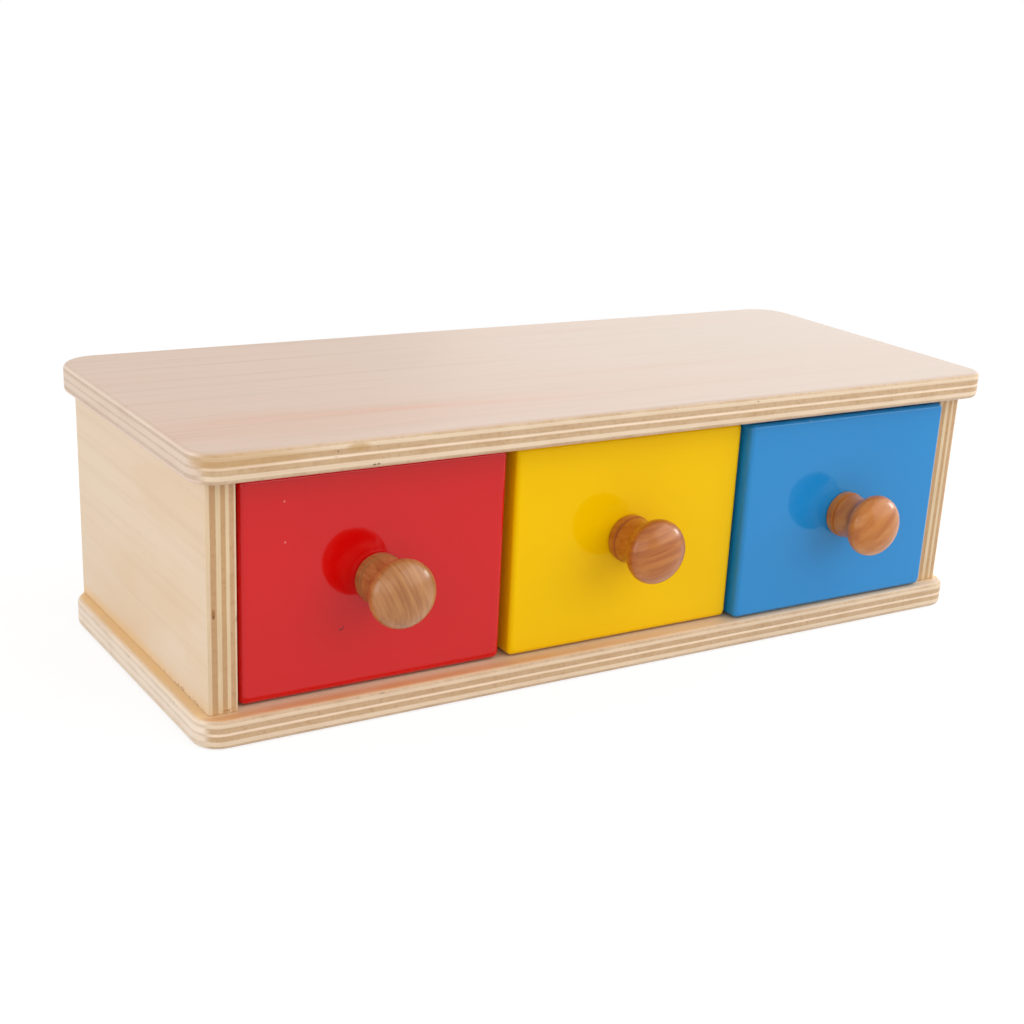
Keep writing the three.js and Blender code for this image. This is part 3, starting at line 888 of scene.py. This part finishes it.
def spun(name, profile, centre, steps):
    """Solid of revolution about an axis towards the front: a point pulled along the profile, then spun."""
    bpy.ops.object.select_all(action="DESELECT")
    places = [Vector((centre.x + r * MM, centre.y - h * MM, centre.z)) for r, h in profile]
    bpy.ops.mesh.primitive_plane_add(size=MM, location=places[0])
    piece = placed(name)
    bpy.ops.object.mode_set(mode="EDIT")
    bpy.ops.mesh.select_mode(type="VERT")
    bpy.ops.mesh.select_all(action="SELECT")
    bpy.ops.mesh.merge(type="CENTER")
    for before, after in zip(places, places[1:]):
        bpy.ops.mesh.extrude_vertices_move(TRANSFORM_OT_translate={"value": after - before})
    bpy.ops.mesh.select_all(action="SELECT")
    bpy.ops.mesh.spin(steps=steps, angle=math.tau, center=centre, axis=(0, 1, 0))
    bpy.ops.mesh.select_all(action="SELECT")
    bpy.ops.mesh.remove_doubles(threshold=MERGE_GAP)
    bpy.ops.mesh.normals_make_consistent(inside=False)
    bpy.ops.object.mode_set(mode="OBJECT")
    return piece


def turned_knob(name, low, high):
    """Knob turned about its axis, with its foot on the drawer front."""
    foot = Vector(((low.x + high.x) / 2, high.y, (low.z + high.z) / 2))
    return spun(name, knob_profile(), foot, KNOB_STEPS)


def pan_screw(name, low, high):
    """Screw with a cross recess in its head."""
    under_head = Vector(((low.x + high.x) / 2, high.y - SCREW_HEAD[1] * MM, (low.z + high.z) / 2))
    piece = spun(name, screw_profile((under_head.y - low.y) / MM), under_head, SCREW_STEPS)
    for long, tall in ((RECESS_LONG, RECESS_WIDE), (RECESS_WIDE, RECESS_LONG)):
        first = Vector((under_head.x - long, high.y - RECESS_DEEP, under_head.z - tall))
        last = Vector((under_head.x + long, high.y + RUN_OUT, under_head.z + tall))
        cut(piece, [block("cutter", first, last)])
    return piece


# Cabinet

def model_cabinet():
    """Boards, sides, back and dividers in plywood, and the dowels' own wood."""
    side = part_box("right_side")
    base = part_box("base_board")
    finishes = {
        "top_board": plywood("top board plywood", "XYZ", spans("top_board", "Z"), BOARD_LAYERS, TOP_FACE,
                             GRAIN_SEEDS["top_board"], (TOP_END_BROWN, TOP_END_CREAM), END_CALM, TOP_COAT,
                             [painted_sheen_end, edge_marks(ROSY_LINES + TOP_MARKS)]),
        "base_board": plywood("base board plywood", "XYZ", spans("base_board", "Z"), BOARD_LAYERS,
                              SIDE_FACE, GRAIN_SEEDS["base_board"], (BASE_END_BROWN, BASE_END_CREAM),
                              END_CALM, BASE_COAT, [painted_ledge_light(side, base)]),
    }
    for node, level in (("top_board", "_top_"), ("base_board", "_base_")):
        piece = long_board(f"{node}_lacquered", *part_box(node))
        cut(piece, [seat(f"{end}_divider") for end in ENDS] + dowel_seats(level))
        stand_for(piece, node, finishes[node])

    sides = repeated([f"{end}_side" for end in ENDS], "lacquered", upright_panel)
    for seed, (node, piece) in enumerate(sides.items()):
        cut(piece, [seat("back_panel", low=(0, 0, RUN_OUT), high=(0, RUN_OUT, RUN_OUT))])
        cut(piece, dowel_seats(node.split("_")[0]))
        marks_and_bounce = [foot_bounce_and_joint(side[0].z, PITTING[node]), edge_marks(SIDE_MARKS)]
        finish = plywood(f"{node} plywood", "YZX", spans(node, "X"), SIDE_LAYERS, SIDE_FACE,
                         seed + GRAIN_SEEDS["side"], coat=SIDE_COAT, extras=marks_and_bounce)
        stand_for(piece, node, finish)

    back = plywood("back panel plywood", "XZY", spans("back_panel", "Y"), SHEET_LAYERS, INNER_FACE,
                   GRAIN_SEEDS["back_panel"])
    stand_for(back_sheet("back_panel_panel", *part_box("back_panel")), "back_panel", back)
    dividers = repeated([f"{end}_divider" for end in ENDS], "panel", upright_panel)
    for seed, (node, piece) in enumerate(dividers.items()):
        finish = plywood(f"{node} plywood", "YZX", spans(node, "X"), SIDE_LAYERS, INNER_FACE,
                         seed + GRAIN_SEEDS["divider"])
        stand_for(piece, node, finish)

    pegs = dowel_wood("dowel hardwood")
    for node in DOWELS:
        frame["nodes"][node].data.materials.clear()
        frame["nodes"][node].data.materials.append(pegs)


# Drawers

PAINTS = {
    "red": {"colour": chip(206, 2, 4), "deep": chip(198, 0, 3),
            # dark specks are painted shade inside dents; light specks are dust with painted glints
            "flaws": [((-0.1223, -0.0639, 0.0344), (0.0011, 0.0020, 0.0006), DENT_PAINTED_SHADE, 0.7),
                      ((-0.1214, -0.0639, 0.0351), (0.0005, 0.0020, 0.0008), DENT_PAINTED_SHADE, 0.6),
                      ((-0.1442, -0.0639, 0.0851), (0.0005, 0.0020, 0.0005), DUST_AND_GLINT, NIB_SHARE),
                      ((-0.1439, -0.0639, 0.0703), (0.0005, 0.0020, 0.0005), DUST_AND_GLINT, NIB_SHARE)]},
    "yellow": {"colour": chip(240, 190, 0), "deep": chip(236, 184, 0), "tint": (1, 0.92, 0.1, 1)},
    "blue": {"colour": chip(24, 132, 198), "deep": chip(18, 127, 194)},
}
KNOBS = {
    "red": {"grain": -68, "stripes": 620, "mottle": 0.12,
            "tones": (chip(180, 124, 71), chip(172, 113, 60), chip(153, 95, 48)),
            "marks": [((0.001, -0.010, -0.004), (0.004, 0.02, 0.0018), 0.5)]},
    "yellow": {"grain": 14, "stripes": 380, "mottle": 0.2,
               "tones": (chip(184, 112, 43), chip(177, 102, 33), chip(158, 84, 24)),
               "marks": [((-0.002, -0.010, 0.0), (0.010, 0.02, 0.0008), 0.95),
                         ((0.002, -0.010, -0.006), (0.008, 0.02, 0.0012), 0.5)]},
    "blue": {"grain": 40, "stripes": 260, "mottle": 0.4,
             "tones": (chip(194, 126, 56), chip(188, 114, 40), chip(171, 95, 29)),
             "marks": [((0.003, -0.010, -0.003), (0.004, 0.02, 0.0014), 0.4)]},
}


def model_drawers():
    """The pieces of each drawer: modelled once, copied, housed and finished."""
    fronts = repeated([f"{colour}_front" for colour in DRAWERS], "painted", drawer_front)
    walls = repeated([f"{colour}_wall_{end}" for colour in DRAWERS for end in ENDS], "ply", side_wall)
    backs = repeated([f"{colour}_wall_back" for colour in DRAWERS], "panel", back_wall)
    bottoms = repeated([f"{colour}_bottom" for colour in DRAWERS], "panel", bottom_sheet)
    knobs = repeated([f"{colour}_knob" for colour in DRAWERS], "turned", turned_knob)
    screws = repeated([f"{colour}_knob_screw" for colour in DRAWERS], "driven", pan_screw)

    for seed, colour in enumerate(DRAWERS):
        node = f"{colour}_front"
        low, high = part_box(node)
        first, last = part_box(f"{colour}_knob_screw")
        axis = (first + last) / 2
        hole = Vector((axis.x, (low.y + high.y) / 2, axis.z))
        cut(fronts[node], [seat(f"{colour}_wall_{end}") for end in ENDS])
        cut(fronts[node], [seat(f"{colour}_bottom")])
        cut(fronts[node], [rod("cutter", hole, SCREW_HOLE, high.y - low.y + 2 * RUN_OUT, "Y")])
        paint = gloss_paint(f"{colour} gloss paint", rear=high.y, seed=seed + 1, **PAINTS[colour])
        stand_for(fronts[node], node, paint)

        for place, end in enumerate(ENDS):
            node = f"{colour}_wall_{end}"
            groove_runs_on = (0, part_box(node)[1].y, 0)
            cut(walls[node], [seat(f"{colour}_bottom", high=groove_runs_on)])
            cut(walls[node], [seat(f"{colour}_wall_back")])
            finish = plywood(f"{colour} {end} wall plywood", "YZX", spans(node, "X"), WALL_LAYERS,
                             INNER_FACE, 2 * seed + place + GRAIN_SEEDS["drawer_side"])
            stand_for(walls[node], node, finish)

        node = f"{colour}_wall_back"
        finish = plywood(f"{colour} back wall plywood", "XZY", spans(node, "Y"), WALL_LAYERS, INNER_FACE,
                         seed + GRAIN_SEEDS["drawer_back"])
        stand_for(backs[node], node, finish)
        node = f"{colour}_bottom"
        finish = plywood(f"{colour} bottom plywood", "XYZ", spans(node, "Z"), SHEET_LAYERS, INNER_FACE,
                         seed + GRAIN_SEEDS["drawer_bottom"])
        stand_for(bottoms[node], node, finish)

        node = f"{colour}_knob"
        low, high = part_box(node)
        groove = high.y - KNOB_FOOT_THICKNESS * MM
        wood = knob_wood(f"{colour} knob hardwood", (low + high) / 2, groove, seed=seed + 1,
                         **KNOBS[colour])
        stand_for(knobs[node], node, wood)
        node = f"{colour}_knob_screw"
        stand_for(screws[node], node, zinc_steel(f"{colour} knob screw steel", axis))


# Floor, light and camera, in metres and degrees

FLOOR_SIZE = 12.0
FLOOR_LEVEL = -0.0002
FLOOR_GLOW = 0.76
FLOOR_GREY = (0.8, 0.8, 0.8, 1)
FLOOR_SHADOW_GREY = (0.3, 0.3, 0.3, 1)
FLOOR_FADE = (0.28, 0.62)
WORLD_LIGHT = 0.66
AIM = Vector((0, 0, 0.05))
CAMERA_PLACE = (-0.37000, -0.56975, 0.26036)
CAMERA_TURN = (69.3747, -3.2686, -32.7311)
CAMERA_LENS = 59.0214
CAMERA_SENSOR = 36
CAMERA_SHIFT = (-0.04532, 0.08592)
WHITE = (1, 1, 1, 1)


def seen_directly(start):
    """1 for what the camera sees, also in a gloss or through glass, and 0 for light on the object."""
    path = start.node("ShaderNodeLightPath", out="Is Camera Ray")
    seen = path.math("MAXIMUM", path, path.other("Is Glossy Ray"))
    return path.math("MAXIMUM", seen, path.other("Is Transmission Ray"))


def lay_floor():
    """White floor that keeps a soft shadow near the box and fades into the white backdrop further out."""
    bpy.ops.object.select_all(action="DESELECT")
    bpy.ops.mesh.primitive_plane_add(size=FLOOR_SIZE, location=(0, 0, FLOOR_LEVEL))
    floor = bpy.context.object
    floor.name = "studio_floor"
    material, start, place = new_finish("white studio floor")
    distance = start.node("ShaderNodeVectorMath", {"operation": "LENGTH"}, {0: place}, out="Value")
    matt = start.node("ShaderNodeBsdfDiffuse", {}, {"Color": FLOOR_GREY})
    faint = start.node("ShaderNodeBsdfDiffuse", {}, {"Color": FLOOR_SHADOW_GREY})
    glow = start.node("ShaderNodeEmission", {}, {"Color": WHITE, "Strength": FLOOR_GLOW})
    near = start.node("ShaderNodeAddShader", {}, {0: faint, 1: glow})
    white = start.node("ShaderNodeEmission", {}, {"Color": WHITE, "Strength": 1.0})
    bright = start.node("ShaderNodeMixShader", {}, {"Fac": band(distance, *FLOOR_FADE), 1: near, 2: white})
    mixed = start.node("ShaderNodeMixShader", {}, {"Fac": seen_directly(start), 1: matt, 2: bright})
    start.node("ShaderNodeOutputMaterial", {}, {"Surface": mixed})
    floor.data.materials.append(material)


def hang_backdrop():
    """White surroundings: plain white to the camera and in reflections, dimmer as light on the object."""
    world = bpy.data.worlds.new("white studio")
    bpy.context.scene.world = world
    world.use_nodes = True
    world.node_tree.nodes.clear()
    start = Wire(world.node_tree)
    soft = start.node("ShaderNodeBackground", {}, {"Color": WHITE, "Strength": WORLD_LIGHT})
    white = start.node("ShaderNodeBackground", {}, {"Color": WHITE, "Strength": 1.0})
    mixed = start.node("ShaderNodeMixShader", {}, {"Fac": seen_directly(start), 1: soft, 2: white})
    start.node("ShaderNodeOutputWorld", {}, {"Surface": mixed})


# Soft boxes: degrees round from the front to the right, degrees up, distance, size in metres, watts
SOFTBOXES = {
    "front_right_softbox": (46, 34, 1.4, (1.8, 1.3), 10.6),
    "small_right_softbox": (84, 16, 1.5, (0.3, 0.3), 2.8),
    "front_left_softbox": (-42, 18, 1.5, (1.2, 0.9), 2.8),
    "left_softbox": (-88, 15, 1.5, (1.0, 0.8), 5.1),
    "rear_right_softbox": (125, 12, 1.6, (1.6, 0.8), 3.7),
}


def hang_softboxes():
    """Hangs each soft box round the box and turns it towards the middle."""
    for name, (round_by, up_by, distance, size, watts) in SOFTBOXES.items():
        around, up = math.radians(round_by), math.radians(up_by)
        away = Vector((math.sin(around) * math.cos(up), -math.cos(around) * math.cos(up), math.sin(up)))
        bpy.ops.object.select_all(action="DESELECT")
        bpy.ops.object.light_add(type="AREA", location=AIM + away * distance)
        lamp = bpy.context.object
        lamp.name = name
        lamp.data.shape = "RECTANGLE"
        lamp.data.size, lamp.data.size_y = size
        lamp.data.energy = watts
        lamp.rotation_euler = (-away).to_track_quat("-Z", "Y").to_euler()
        lamp.visible_camera = False


def set_camera():
    """Camera at the photograph's viewing angle."""
    data = bpy.data.cameras.new("photo camera")
    camera = bpy.data.objects.new("photo_camera", data)
    bpy.context.scene.collection.objects.link(camera)
    camera.location = CAMERA_PLACE
    camera.rotation_euler = Euler([math.radians(angle) for angle in CAMERA_TURN])
    data.lens = CAMERA_LENS
    data.sensor_width = CAMERA_SENSOR
    data.shift_x, data.shift_y = CAMERA_SHIFT
    bpy.context.scene.camera = camera


model_cabinet()
model_drawers()
lay_floor()
hang_backdrop()
hang_softboxes()
set_camera()
bpy.context.scene.view_settings.view_transform = "Standard"
